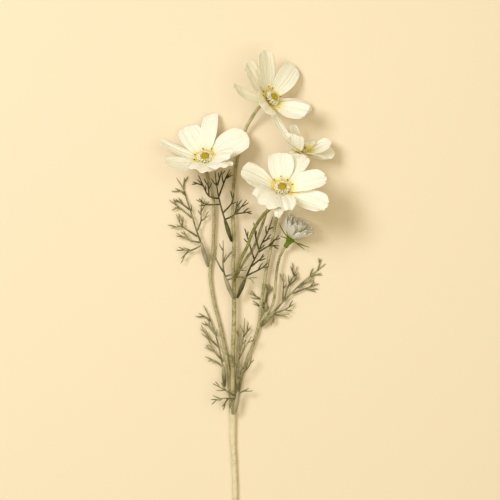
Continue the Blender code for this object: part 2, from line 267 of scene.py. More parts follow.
# Leaf flock: short grey-green pile on plastic, paler toward the tips
def flockFinish(name, deep, pale, dusting):
    flock = Finish(name, Roughness=0.92, SpecularIorLevel=0.1, SheenWeight=0.3,
                   SheenRoughness=0.4, SheenTint=(0.80, 0.75, 0.52))
    across, along, spare = flock.shape()
    pile = flock.noise(1900, 3)
    patch = flock.noise(130, 3)
    tone = flock.mix(flock.step(patch + along * dusting, 0.38, 0.85), deep, pale)
    tone = flock.mix(flock.step(pile, 0.5, 0.74) * 0.55, tone, pale)
    flock.feed(BaseColor=tone, Normal=flock.bump(pile, 0.00025, 0.8))
    return flock.material


petalCloth = petalFinish("petalCloth", 4.6)
budCloth = petalFinish("budCloth", 2.2)
discPlush = threadFinish("discPlush", (0.15, 0.11, 0.004), (0.66, 0.50, 0.04), 0.15, 0.85, 0.8)
stamenFoam = threadFinish("stamenFoam", (0.80, 0.68, 0.20), (0.95, 0.91, 0.74), 0.2, 0.65, 0.6)
filamentThread = threadFinish("filamentThread", (0.80, 0.66, 0.16), (0.86, 0.76, 0.34), 0, 0.8, 0.6)
collarCloth = threadFinish("collarCloth", (0.74, 0.52, 0.05), (0.90, 0.74, 0.22), 0.2, 1.0, 0.7)
antherMaroon = threadFinish("antherMaroon", (0.13, 0.03, 0.015), (0.20, 0.05, 0.025), 0, 0.6, 0.5)
calyxGreen = sepalFinish("calyxGreen", (0.05, 0.065, 0.01), (0.15, 0.18, 0.03))
budGreen = sepalFinish("budGreen", (0.08, 0.13, 0.006), (0.22, 0.30, 0.02))
trunkTape = tapeFinish("trunkTape", (0.40, 0.34, 0.19), (0.56, 0.49, 0.31),
                       (0.70, 0.63, 0.45), 0.8, 5)
branchTape = tapeFinish("branchTape", (0.17, 0.15, 0.04), (0.32, 0.285, 0.12),
                        (0.48, 0.44, 0.26), 0.5, 4)
forkPlastic = tapeFinish("forkPlastic", (0.12, 0.115, 0.016), (0.21, 0.20, 0.04),
                         (0.36, 0.34, 0.15), 0.2, 2)
leafFlock = flockFinish("leafFlock", (0.09, 0.085, 0.03), (0.36, 0.335, 0.18), 0.25)
# painted shade: a much darker copy of the leaf flock for the twigs and sockets of the two leaves that lie
# in the blossoms' shadow
shadedLeafFlock = flockFinish("shadedLeafFlock", (0.03, 0.028, 0.008), (0.14, 0.13, 0.05), 0.2)
greyFlock = flockFinish("greyFlock", (0.25, 0.225, 0.15), (0.42, 0.38, 0.27), 0.2)
print("finishes are ready")


# Surfaces. A part is (points, list of face arrays, shape numbers, which finish it takes)

# A grid of points joined row to row, closed round when wrapped
def gridFaces(rows, columns, wrapped=False):
    index = np.arange(rows * columns).reshape(rows, columns)
    if wrapped:
        index = np.hstack([index, index[:, :1]])
    corners = [index[:-1, :-1], index[1:, :-1], index[1:, 1:], index[:-1, 1:]]
    return np.stack(corners, -1).reshape(-1, 4)


# A middle surface given a wall: each face lies half the thickness along the normal, and a
# band joins the two all round the edge
def sheetPart(points, thickness, shape):
    rows, columns = points.shape[:2]
    normal = np.cross(np.gradient(points, axis=0), np.gradient(points, axis=1))
    normal /= np.maximum(np.linalg.norm(normal, axis=2, keepdims=True), 1e-9)
    offset = normal * np.broadcast_to(thickness, (rows, columns))[..., None] / 2
    both = np.concatenate([(points + offset).reshape(-1, 3), (points - offset).reshape(-1, 3)])
    top = gridFaces(rows, columns)
    index = np.arange(rows * columns).reshape(rows, columns)
    rim = np.concatenate([index[:, 0], index[-1, 1:], index[-2::-1, -1], index[0, -2:0:-1]])
    after = np.roll(rim, -1)
    count = rows * columns
    band = np.stack([after, rim, rim + count, after + count], -1)
    faces = np.concatenate([top, top[:, ::-1] + count, band])
    return both, [faces], np.tile(shape.reshape(-1, 3), (2, 1)), 0


lapRise = 0.85             # share of a wrap over which the tape rises to its edge


# A tube: a ring of given radius square to the path at each of its points, with the middle
# of each end drawn to a pole. Given a wrap pitch, the tape's edge winds round it as a low
# step. Shape numbers are the side that faces, the distance and the number of wraps.
def tubePart(path, radius, sides, finish=0, wrapPitch=None, wrapStep=0.0):
    path = np.asarray(path, float)
    ahead = np.gradient(path, axis=0)
    ahead /= np.linalg.norm(ahead, axis=1, keepdims=True)
    side = np.cross(ahead, (0, 0, 1))
    side /= np.linalg.norm(side, axis=1, keepdims=True)
    rise = np.cross(side, ahead)
    turn = np.linspace(0, 2 * np.pi, sides, endpoint=False)[None, :]
    travelled = np.concatenate([[0], np.cumsum(np.linalg.norm(np.diff(path, axis=0), axis=1))])
    radius = np.broadcast_to(np.asarray(radius, float), len(path))[:, None] + 0 * turn
    wrap = 0 * radius
    if wrapPitch:
        wrap = travelled[:, None] / wrapPitch + turn / (2 * np.pi)
        lap = wrap % 1
        radius = radius + wrapStep * (np.minimum(lap / lapRise, (1 - lap) / (1 - lapRise)) - 0.5)
    ring = np.cos(turn)[..., None] * side[:, None] + np.sin(turn)[..., None] * rise[:, None]
    points = path[:, None] + radius[..., None] * ring
    share = travelled[:, None] / travelled[-1] + 0 * turn
    shape = np.stack([np.cos(turn) + 0 * share, share, wrap], -1).reshape(-1, 3)
    rows = len(path)
    count = rows * sides
    ringIndex = np.arange(sides)
    following = np.roll(ringIndex, -1)
    first = np.stack([ringIndex, following, np.full(sides, count)], -1)
    last = np.stack([following, ringIndex, np.full(sides, count + 1 - (rows - 1) * sides)], -1)
    last = last + (rows - 1) * sides
    points = np.concatenate([points.reshape(-1, 3), path[[0, -1]]])
    shape = np.concatenate([shape, [[0, 0, 0], [0, 1, 0]]])
    return points, [gridFaces(rows, sides, True), first, last], shape, finish


# A turned shape: each (radius, height) of the profile swept round the z axis, with a pole at
# the middle of each end
def turnedPart(profile, sides, finish=0):
    radius, height = np.array(profile, float).T
    turn = np.linspace(0, 2 * np.pi, sides, endpoint=False)[None, :]
    rings = np.stack([radius[:, None] * np.cos(turn), radius[:, None] * np.sin(turn),
                      height[:, None] + 0 * turn], -1)
    rows = len(profile)
    count = rows * sides
    ringIndex = np.arange(sides)
    following = np.roll(ringIndex, -1)
    faces = gridFaces(rows, sides, True)[:, ::-1]
    first = np.stack([following, ringIndex, np.full(sides, count)], -1)
    last = np.stack([ringIndex + (rows - 1) * sides, following + (rows - 1) * sides,
                     np.full(sides, count + 1)], -1)
    points = np.concatenate([rings.reshape(-1, 3), [[0, 0, height[0]], [0, 0, height[-1]]]])
    share = (height - height.min()) / np.ptp(height)
    shape = np.stack([np.cos(turn) + 0 * share[:, None], share[:, None] + 0 * turn,
                      0 * share[:, None] + 0 * turn], -1).reshape(-1, 3)
    shape = np.concatenate([shape, [[0, share[0], 0], [0, share[-1], 0]]])
    return points, [faces, first, last], shape, finish


# Copies of one small turned shape: each stands at a foot and points along a direction, with
# its own width and length
def scatterPart(unit, feet, directions, widths, lengths, finish=0):
    points, faces, shape, _ = unit
    z = directions / np.linalg.norm(directions, axis=1, keepdims=True)
    spare = np.where(np.abs(z[:, :1]) < 0.9, [[1.0, 0, 0]], [[0, 1.0, 0]])
    x = np.cross(spare, z)
    x /= np.linalg.norm(x, axis=1, keepdims=True)
    y = np.cross(z, x)
    widths = np.broadcast_to(widths, len(feet))[:, None, None]
    lengths = np.broadcast_to(lengths, len(feet))[:, None, None]
    placed = (feet[:, None] + points[None, :, :1] * widths * x[:, None]
              + points[None, :, 1:2] * widths * y[:, None] + points[None, :, 2:] * lengths * z[:, None])
    shift = np.arange(len(feet)) * len(points)
    allFaces = [(block[None] + shift[:, None, None]).reshape(-1, block.shape[1]) for block in faces]
    carried = np.tile(shape, (len(feet), 1))
    carried[:, 2] = np.repeat((np.arange(len(feet)) * 0.618) % 1, len(points))
    return placed.reshape(-1, 3), allFaces, carried, finish


# Points along a smooth curve through the given ones, close to a set distance apart
def smoothPath(points, spacing):
    p = np.array(points, float)
    ends = np.vstack([2 * p[0] - p[1], p, 2 * p[-1] - p[-2]])
    steps = np.maximum(2, (np.linalg.norm(np.diff(p[:, :3], axis=0), axis=1) / spacing).astype(int))
    spans = []
    for k, count in enumerate(steps):
        a, b, c, d = ends[k:k + 4]
        t = (np.arange(count) / count)[:, None]
        spans.append(0.5 * (2 * b + (c - a) * t + (2 * a - 5 * b + 4 * c - d) * t ** 2
                            + (3 * b - a - 3 * c + d) * t ** 3))
    return np.vstack(spans + [p[-1:]])


# Parts made one piece that rides on the spray and stands for its CAD solid
def makePiece(node, materials, parts):
    name = node.split("_")[0] + "".join(word.title() for word in node.split("_")[1:])
    start = np.cumsum([0] + [len(part[0]) for part in parts])
    faces, kinds = [], []
    for part, shift in zip(parts, start):
        for block in part[1]:
            faces.extend((block + shift).tolist())
            kinds.extend([part[3]] * len(block))
    mesh = bpy.data.meshes.new(name)
    mesh.from_pydata(inFrame(np.concatenate([part[0] for part in parts])), [], faces)
    carried = mesh.attributes.new("shape", "FLOAT_VECTOR", "POINT")
    carried.data.foreach_set("vector", np.concatenate([part[2] for part in parts]).ravel())
    for material in materials:
        mesh.materials.append(material)
    mesh.polygons.foreach_set("material_index", kinds)
    mesh.polygons.foreach_set("use_smooth", [True] * len(faces))
    mesh.update()
    piece = bpy.data.objects.new(name, mesh)
    bpy.context.scene.collection.objects.link(piece)
    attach(piece, "root")
    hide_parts(node)
    return piece


# Blossoms: base of the petals, lean of the axis and its heading, size of the centre, and the
# petals as (turn, rise, length, width, twist, cup, left roll, arch, notch, ruffle, slant,
# droop, corner), then the turns of the filaments. Angles are degrees, lengths millimetres, and
# slant and corner are shares of the length.
blossoms = {
    "left": {"base": (-24, 438, 19), "lean": 36, "heading": 95, "size": 1, "petals": [
        (165, 22, 38, 18, 29, 20, 0, -18, 0.8, 0.5, 0, 0.5, 0.16),
        (210, 31, 38, 19.5, 1, 22, 0, -19, 0.6, 0.8, 0, 0.5, 0.12),
        (118, 10, 33.5, 21.5, 0, 20, 0, 14, 1.5, 0.4, 0, 0, 0.14),
        (83, 18, 39, 14, 0, 14, 0, 11, 0.4, 0.3, -0.06, 0, 0.06),
        (30, 14, 38, 26, 0, 10, -55, 10, 0.4, 0.5, 0, 0.5, 0.16),
        (334, 45, 29.5, 18, 0, -15, 0, 12, 0.7, 1.2, 0, 2, 0.16),
        (309, 40, 35, 19.5, -16, -15, 0, 8, 0.7, 1.2, 0, 2, 0.12),
        (258, 44, 33, 29, -5, -10, 0, 8, 0.9, 1.8, 0.06, 1.5, 0.1)],
        "filaments": (102, 57, 10, 153, 247, 312, 219, 345, 185)},
    "center": {"base": (40, 412, 44), "lean": 32, "heading": 88, "size": 1, "petals": [
        (173, 32, 35, 29, 15, 30, 0, -1, 0.8, 0.8, 0, 1, 0.14),
        (235, 35, 33, 26.5, -8, 10, 0, 20, 1, 1.9, 0, 1.5, 0.1),
        (92, 16, 30, 22, 0, 18, 0, 19, 0.5, 0.5, 0, 0.5, 0.14),
        (59, 7, 35.5, 16.5, 0, 18, 0, 22, 0.7, 0.6, 0, 0.5, 0.14),
        (7, 20, 35.5, 19.5, 0, 20, 0, 18, 2.2, 0.6, 0, 0.5, 0.16),
        (330, 13, 39, 21, 0, 20, 0, -1, 1.2, 1.3, 0, 1, 0.14),
        (277, 36, 35, 16, 0, 15, 0, 11, 0.8, 1.4, 0, 1.5, 0.1),
        (263, 24, 35, 9, 0, 15, 0, 15, 0.6, 1.2, 0, 1, 0.16)],
        "filaments": (132, 95, 18, 340, 275, 60, 205, 240)},
    "top": {"base": (30, 488, 25), "lean": 52, "heading": 32, "size": 1, "petals": [
        (178, 3, 38.5, 16, 14, 20, 0, -28, 0.4, 0.6, 0, 0.5, 0.16),
        (150, 18, 36.5, 26, 0, 25, 0, -7, 1.5, 0.8, 0, 0.5, 0.14),
        (115, 28, 38, 24.5, 0, 20, 0, 0, 1.3, 0.6, 0, 0.5, 0.12),
        (54, 24, 38.5, 19, 0, 15, 0, 11, 0.3, 0.4, 0, 0.5, 0.14),
        (-5, 15, 38, 11.5, 25, 20, 0, 7, 0.6, 0.6, 0, 0.5, 0.16),
        (312, 42, 30.5, 21, 16, 15, 0, -11, 0.5, 0.8, 0, 0, 0.05),
        (220, 21, 23, 24.5, -1, 20, 0, 10, 0.5, 0.8, 0, 1, 0.12),
        (277, 12, 37, 11.5, 2, 20, 0, -15, 0.6, 0.9, 0, 0.5, 0.16)],
        "filaments": (150, 110, 172, 80, 200, 240, 300, 20)},
    "side": {"base": (56, 445.5, 17), "lean": 70, "heading": 55, "size": 0.75, "petals": [
        (225, 0, 14, 12, 0, 20, 0, 10, 0.5, 0.5, 0, 0.5, 0.16),
        (205, 38, 25, 18, 27, 15, 0, -28, 0.3, 0.5, 0, 0.5, 0.12),
        (155, 41, 20.5, 16, -18, 20, 0, 19, 0.3, 0.5, 0, 0.5, 0.14),
        (123, 12, 25, 11.5, 3, 20, 0, 9, 0.5, 0.5, 0, 0.5, 0.16),
        (57, 23, 14, 20, -40, 20, 0, 24, 0.5, 0.5, 0, 0.5, 0.16),
        (346, 56, 23.5, 18.5, 6, 20, 0, -19, 0.5, 0.5, 0, 0.5, 0.16),
        (347, 31, 25.5, 16.5, 25, 24, 0, -8, 0.5, 0.5, 0, 0.5, 0.16),
        (295, 28, 22, 13, 0, 20, 0, 10, 0.5, 0.5, 0, 0.5, 0.16)],
        "filaments": (100, 140, 60, 180, 20)},
}
petalMake = {"rows": 61, "columns": 49, "start": 4.2, "layer": 0.06, "thickness": 0.34,
             "claw": 0.24, "widest": 0.62, "drawIn": 0.22, "cornerPower": 2.6, "waves": 2.3,
             "grooves": (-0.31, 0.36), "groove": 0.09, "pleat": 0.4}


# Rows are the directions of the blossom's own axes once its upright axis leans to a heading
def headAxes(head):
    lean, heading = np.radians(head["lean"]), np.radians(head["heading"])
    px, py = -np.sin(heading), np.cos(heading)
    cross = np.array([[0, 0, py], [0, 0, -px], [-py, px, 0]])
    return (np.eye(3) + np.sin(lean) * cross + (1 - np.cos(lean)) * cross @ cross).T


def toHead(head, points):
    return np.asarray(head["base"]) + points @ headAxes(head)


# Petal. Along it, the width swells from the claw to its widest place and draws in a little
# at the tip, whose outline falls away at the corners and in two notches. The middle line
# arches: its slope runs from plus to minus the arch. Across it, the slope grows with the
# distance from the middle line, so it cups, and the left edge may roll. Grooves run down to
# the notches, and the outer edge waves.
def petalPart(head, petal):
    turn, rise, length, width, twist, cup, roll, arch, notch, ruffle, slant, droop, corner = petal
    make = petalMake
    axes = headAxes(head)
    f, pitch = np.radians(turn), np.radians(rise)
    radial = np.array([np.cos(f), np.sin(f), 0]) @ axes
    side = np.array([-np.sin(f), np.cos(f), 0]) @ axes
    ahead = np.cos(pitch) * radial + np.sin(pitch) * axes[2]
    up = np.cross(ahead, side)
    layer = np.clip(make["layer"] * (rise - 20), -1.5, 1.5)
    start = np.array(head["base"]) + radial * make["start"] + axes[2] * layer

    u = np.linspace(0, 1, make["rows"])[:, None]
    v = np.linspace(-1, 1, make["columns"])[None, :]
    sway = 0.09 * np.sin(turn * 1.7)
    clefts = sum(np.exp(-((v - g - sway) / make["groove"]) ** 2) for g in make["grooves"])
    tip = 1 + slant * v - corner * np.abs(v) ** make["cornerPower"] - notch / length * clefts
    s = u * tip
    swell = np.sin(np.pi / 2 * np.clip(s / make["widest"], 0, 1)) ** 0.95
    ease = np.clip((s - make["widest"]) / (1 - make["widest"]), 0, 1)
    breadth = width / 2 * (make["claw"] + (1 - make["claw"]) * swell) * (1 - make["drawIn"] * ease ** 2)

    q = np.linspace(-1, 1, 201)
    slope = np.radians(cup * q - roll * np.maximum(-q, 0) ** 2)
    flat = np.concatenate([[0], np.cumsum(np.cos(slope[1:])) * 0.01])
    lift = np.concatenate([[0], np.cumsum(np.sin(slope[1:])) * 0.01])
    x = breadth * np.interp(v, q, flat - flat[100])
    z = breadth * np.interp(v, q, lift - lift[100]) * np.minimum(1, s * 2.5)
    opened = np.clip(s / 0.4, 0, 1) ** 1.5 * (1 - 0.35 * ease)
    wave = np.sin(np.pi * (make["waves"] * v + 0.11 * turn)) * (0.3 + 0.7 * np.abs(v))
    z = z - make["pleat"] * opened * (clefts - 0.3 * np.cos(11 * v + turn))
    z = z + ruffle * np.clip((s - 0.4) / 0.6, 0, 1) ** 1.5 * wave

    t = np.linspace(0, 1.2, 121)
    bend = np.radians(arch) * (1 - 2 * t)
    forward = length * np.interp(s, t, np.cumsum(np.cos(bend)) * 0.01 - 0.01)
    height = length * np.interp(s, t, np.cumsum(np.sin(bend)) * 0.01)
    height = height - droop * np.clip((s - 0.6) / 0.4, 0, 1.2) ** 2
    rho = np.radians(twist) * np.sin(np.pi / 2 * np.minimum(1, s / 0.6))
    acrossWay = np.cos(rho)[..., None] * side + np.sin(rho)[..., None] * up
    upWay = -np.sin(rho)[..., None] * side + np.cos(rho)[..., None] * up
    points = (start + forward[..., None] * ahead + height[..., None] * up
              + x[..., None] * acrossWay + z[..., None] * upWay)
    wall = make["thickness"] * (1 - 0.4 * s) * (1 - 0.45 * np.abs(v) ** 8)
    shape = np.stack([v + 0 * s, s, s * length], -1)
    return sheetPart(points, wall, shape)


for key, head in blossoms.items():
    for number, petal in enumerate(head["petals"], 1):
        makePiece(f"{key}_petal_{number}", [petalCloth], [petalPart(head, petal)])
    print(key, "petals are made")


# Flower centre: a plush disc of florets, rings of short foam stamens round it as (count, foot
# radius, tip radius, tip height, width), a few long filaments with dark anthers that lean out
# over the petals, and a yellow collar
center = {"florets": 85, "discRadius": 3.1, "discTop": 6.6, "crown": 1.2,
          "rings": [(26, 3.2, 4.3, 5.9, 0.62), (30, 3.6, 5.5, 5.1, 0.68), (34, 4.2, 6.5, 4.0, 0.6)],
          "filamentFoot": 4.6, "filamentWidth": 0.17, "reach": 9.4, "over": 1.6,
          "antherWidth": 0.42, "antherLength": 1.5, "floretWidth": 0.38,
          "collarInner": 3.2, "collarRim": 8.4, "collarLift": 0.9, "collarFolds": 26,
          "collarFoldDepth": 0.28}

# Small forms that are repeated: (radius, height) as shares of the width and the length
floretForm = turnedPart([(0.55, 0.0), (0.62, 0.5), (0.95, 0.75), (0.7, 0.95), (0.3, 1.0)], 8)
stamenForm = turnedPart([(0.5, 0.0), (0.45, 0.5), (0.75, 0.68), (1.0, 0.82), (0.8, 0.95),
                         (0.3, 1.0)], 8)
filamentForm = turnedPart([(1, 0.0), (0.9, 0.5), (0.8, 1.0)], 6)
antherForm = turnedPart([(0.35, 0.0), (0.9, 0.2), (1.0, 0.5), (0.8, 0.8), (0.3, 1.0)], 8)


# Slope of the petals round the blossom, in degrees, at any turn. Some of each petal's arch may
# be counted in.
def riseAt(head, turns, arching=0.0):
    known = sorted((petal[0] % 360, petal[1] + arching * petal[7]) for petal in head["petals"])
    places, rises = np.array(known, float).T
    return np.interp(turns, places, rises, period=360)


def outward(turns):
    return np.stack([np.cos(turns), np.sin(turns), 0 * turns], -1)


# A closed ring: the loop of profile points goes round the axis, and round itself
def ringPart(points, shape, finish):
    rows, columns = points.shape[:2]
    index = np.arange(rows * columns).reshape(rows, columns)
    index = np.vstack([index, index[:1]])
    index = np.hstack([index, index[:, :1]])
    corners = [index[:-1, :-1], index[:-1, 1:], index[1:, 1:], index[1:, :-1]]
    return points.reshape(-1, 3), [np.stack(corners, -1).reshape(-1, 4)], shape.reshape(-1, 3), finish


# Yellow collar: a folded, ragged-edged ring that lies on the petals' claws and follows their
# slope. The loop of its profile runs out along the top and back underneath.
def collarPart(head, finish):
    make = center
    turns = np.linspace(0, 2 * np.pi, 216, endpoint=False)[None, :]
    share = np.concatenate([np.linspace(0, 1, 12), np.linspace(1, 0, 12)])[:, None]
    under = np.concatenate([np.zeros(12), np.ones(12)])[:, None]
    ragged = 0.45 * np.sin(8 * turns + 1) + 0.35 * np.sin(19 * turns) + 0.3 * np.sin(43 * turns + 2)
    rim = make["collarRim"] / head["size"] ** 0.3 + ragged
    radius = make["collarInner"] + (rim - make["collarInner"]) * share
    known = riseAt(head, np.degrees(turns) % 360, 0.9)
    climb = np.tan(np.radians(np.clip(known, 0, 55)))
    height = np.maximum(radius - petalMake["start"], 0) * climb + make["collarLift"]
    deep = make["collarFoldDepth"]
    folds = deep * share * np.sin(make["collarFolds"] * turns + 2 * share)
    wall = 0.3 * np.sin(np.pi * np.clip(share + 0.02, 0, 1)) + 0.02
    height = height + folds - under * wall
    points = np.stack([radius * np.cos(turns), radius * np.sin(turns), height], -1)
    carried = np.stack([np.cos(turns) + 0 * radius, share + 0 * turns, 0.5 + 0.5 * folds / deep], -1)
    return ringPart(points, carried, finish)


# The parts of one centre, in the order of its finishes. The florets stand in a sunflower
# spiral on a dome with a dimple, and every stamen and filament runs from its foot to its tip.
def centerParts(head):
    make, size = center, head["size"]
    dome = turnedPart([(2.2, 0.6), (2.8, 0.9), (3.0, 4.0), (3.1, 5.2), (2.8, 5.9), (1.8, 6.3),
                       (0.8, 6.3)], 32)
    n = np.arange(make["florets"])
    share = np.sqrt((n + 0.5) / make["florets"])
    turns = n * goldenAngle
    feet = outward(turns) * (share * make["discRadius"])[:, None]
    dimple = 0.5 * np.exp(-(share / 0.3) ** 2)
    feet[:, 2] = make["discTop"] - make["crown"] * share ** 4 - dimple - 0.5
    lean = outward(turns) * (share ** 3 * 0.9)[:, None] + np.array([0, 0, 1.0])
    florets = scatterPart(floretForm, feet, lean, make["floretWidth"], 1.3 + 0.4 * np.sin(n * 2.1))

    stamens = []
    for count, foot, tip, top, width in make["rings"]:
        n = np.arange(count)
        turns = n * 2 * np.pi / count + 0.08 * np.sin(n * 3.7)
        feet = outward(turns) * foot
        feet[:, 2] = 1.0
        tips = outward(turns) * (tip + 0.3 * np.sin(n * 2.4))[:, None]
        tips[:, 2] = top + 0.55 * np.sin(n * 1.9)
        reach = tips - feet
        stamens.append(scatterPart(stamenForm, feet, reach, width, np.linalg.norm(reach, axis=1), 1))

    turns = np.radians(np.array(head["filaments"], float))
    n = np.arange(len(turns))
    feet = outward(turns) * make["filamentFoot"]
    feet[:, 2] = 1.6
    reachOut = make["reach"] + 0.6 * np.sin(n * 2.2)
    tips = outward(turns) * reachOut[:, None]
    steep = np.tan(np.radians(np.clip(riseAt(head, np.degrees(turns), 0.8), 0, 60)))
    tips[:, 2] = (reachOut - petalMake["start"]) * steep + make["over"] + 0.5 * np.sin(n * 1.3)
    reach = tips - feet
    filaments = scatterPart(filamentForm, feet, reach, make["filamentWidth"],
                            np.linalg.norm(reach, axis=1), 2)
    anthers = scatterPart(antherForm, tips - 0.1 * reach, reach, make["antherWidth"],
                          make["antherLength"], 3)
    parts = [dome, florets, *stamens, filaments, anthers, collarPart(head, 4)]
    return [(toHead(head, points * size), faces, shape, finish)
            for points, faces, shape, finish in parts]


for key, head in blossoms.items():
    makePiece(f"{key}_flower_center",
              [discPlush, stamenFoam, filamentThread, antherMaroon, collarCloth], centerParts(head))
print("flower centres are made")


# Calyx: a turned cup on the end of the stem with eight narrow sepals under the petals
# The long sepals are (turn, slope, length); the short ones are a share of the usual length.
calyx = {"cup": [(1.5, -9.0), (1.75, -8.6), (1.85, -7), (2.2, -5.4), (2.8, -3.9), (3.05, -3.1),
                 (2.7, -2.3), (1.6, -2.0)],
         "sepals": 8, "length": 8.2, "width": 2.1, "foot": 2.6, "footHeight": -2.9,
         "long": {"center": (134, 14, 13.0)}, "short": {"side": 0.2}}


# A sepal: a lance that swells fast, then draws to a point, with its sides folded up a
# little. Its middle line runs out at a slope that changes evenly to a second one.
def sepalPart(turn, slopes, length, width, foot, footHeight):
    t = np.linspace(0, 1, 17)[:, None]
    v = np.linspace(-1, 1, 7)[None, :]
    slope = np.radians(slopes[0] + (slopes[1] - slopes[0]) * t)
    out = foot + length * np.cumsum(np.cos(slope), 0) / 17
    high = footHeight + length * np.cumsum(np.sin(slope), 0) / 17
    breadth = width / 2 * (0.55 + 0.9 * t) ** 0.5 * (1 - t ** 2.2) ** 0.8 + 0.06
    lift = 0.35 * breadth * v ** 2
    sideways = breadth * v
    c, s = np.cos(np.radians(turn)), np.sin(np.radians(turn))
    r = out - lift * np.sin(slope)
    points = np.stack([r * c - sideways * s, r * s + sideways * c, high + lift * np.cos(slope)], -1)
    shape = np.stack([v + 0 * t, t + 0 * v, 0 * t + 0 * v], -1)
    return sheetPart(points, 0.32, shape)


def inHead(head, parts):
    return [(toHead(head, points), faces, shape, finish) for points, faces, shape, finish in parts]


for key, head in blossoms.items():
    turns = np.arange(calyx["sepals"]) * 45 + 22
    rises = riseAt(head, turns % 360)
    length = calyx["length"] * calyx["short"].get(key, 1)
    parts = [turnedPart(calyx["cup"], 32)]
    for turn, rise in zip(turns, rises):
        slopes = (min(rise * 0.5, 20) - 10, min(rise * 0.8, 30) - 6)
        parts.append(sepalPart(turn, slopes, length, calyx["width"], calyx["foot"],
                               calyx["footHeight"]))
    if key in calyx["long"]:
        turn, slope, length = calyx["long"][key]
        parts.append(sepalPart(turn, (slope, slope + 8), length, calyx["width"], calyx["foot"],
                               calyx["footHeight"]))
    makePiece(f"{key}_calyx", [calyxGreen], inHead(head, parts))
print("calyxes are made")


# The opening bud: rings of narrow petals, each ring steeper than the one outside it, over a
# green cup with long curved sepals. A ring is (count, slope at the foot, slope at the tip,
# length, width, foot radius), and a sepal is (turn, slope at the foot, slope at the tip,
# length).
bud = {"base": (48, 372, 12), "lean": 70, "heading": 57, "petalFoot": 0.9,
       "sepalForm": (1.9, 2.7, -0.9),
       "cup": [(1.5, -9), (1.9, -8.7), (2.1, -5), (2.8, -3), (3.7, -1.2), (3.9, -0.2), (2.6, 0.4)],
       "rings": [(13, 40, 62, 18.5, 5.0, 2.6), (11, 52, 72, 19.0, 4.8, 2.0), (9, 64, 80, 18.5, 4.6, 1.4),
                 (6, 78, 88, 17.0, 4.2, 0.8)],
       "sepals": [(145, 18, 38, 15), (118, 32, 42, 11), (325, 8, 22, 15), (342, -6, -14, 13),
                  (235, 25, -20, 11), (200, 8, 10, 12), (290, 20, 35, 12), (60, 25, 10, 10)]}


# A narrow petal: a strap with a round tip, hollow along its length, whose middle line leaves
# at one slope and ends at another
def strapPart(turn, slopes, length, width, foot, footHeight):
    t = np.linspace(0, 1, 25)[:, None]
    v = np.linspace(-1, 1, 13)[None, :]
    slope = np.radians(slopes[0] + (slopes[1] - slopes[0]) * t)
    out = foot + length * np.cumsum(np.cos(slope), 0) / 25
    high = footHeight + length * np.cumsum(np.sin(slope), 0) / 25
    breadth = width / 2 * (0.35 + 0.65 * np.sin(np.pi / 2 * np.clip(t / 0.6, 0, 1)))
    breadth = breadth * np.sqrt(np.clip(1 - np.clip((t - 0.72) / 0.285, 0, 1) ** 2, 0.004, 1))
    lift = breadth * (0.42 * v ** 2 - 0.06 * np.cos(9 * v))
    sideways = breadth * v
    c, s = np.cos(np.radians(turn)), np.sin(np.radians(turn))
    r = out - lift * np.sin(slope)
    points = np.stack([r * c - sideways * s, r * s + sideways * c, high + lift * np.cos(slope)], -1)
    shape = np.stack([v + 0 * t, t + 0 * v, t * length + 0 * v], -1)
    return sheetPart(points, 0.26, shape)


parts = []
for ring, (count, low, high, length, width, foot) in enumerate(bud["rings"]):
    for k in range(count):
        turn = (k + 0.5 * (ring % 2)) * 360 / count + 6 * np.sin(k * 2.3 + ring)
        vary = np.sin(k * 1.9 + ring)
        parts.append(strapPart(turn, (low + 3 * vary, high + 4 * vary), length + 0.8 * vary, width,
                               foot, bud["petalFoot"]))
makePiece("bud_petals", [budCloth], inHead(bud, parts))

parts = [turnedPart(bud["cup"], 32)]
for turn, low, high, length in bud["sepals"]:
    parts.append(sepalPart(turn, (low, high), length, *bud["sepalForm"]))
makePiece("bud_calyx", [budGreen], inHead(bud, parts))


# The closed bud under the centre blossom: a tight cone of petals in a green cup, with eight
# low ribs
smallBud = {"base": (32.6, 409, 14.4), "lean": 80, "heading": 72,
            "cup": [(1.3, -12.4), (1.6, -12.1), (2.2, -10), (3.2, -8.2), (3.6, -7.2), (3.0, -6.8)],
            "cone": [(1.0, -8.0), (3.0, -7.2), (3.6, -5), (3.7, -3), (3.0, -0.5), (1.6, 1.6), (0.4, 2.4)]}
cone = turnedPart(smallBud["cone"], 48)
ribs = 1 + 0.07 * np.cos(8 * np.arctan2(cone[0][:, 1], cone[0][:, 0]))
ribbed = cone[0] * ribs[:, None] ** [1, 1, 0]
parts = [turnedPart(smallBud["cup"], 32, 1), (ribbed, cone[1], cone[2] * [1, 1, 0] + [0, 0, 8], 0)]
makePiece("small_bud", [budCloth, budGreen], inHead(smallBud, parts))
print("buds are made")


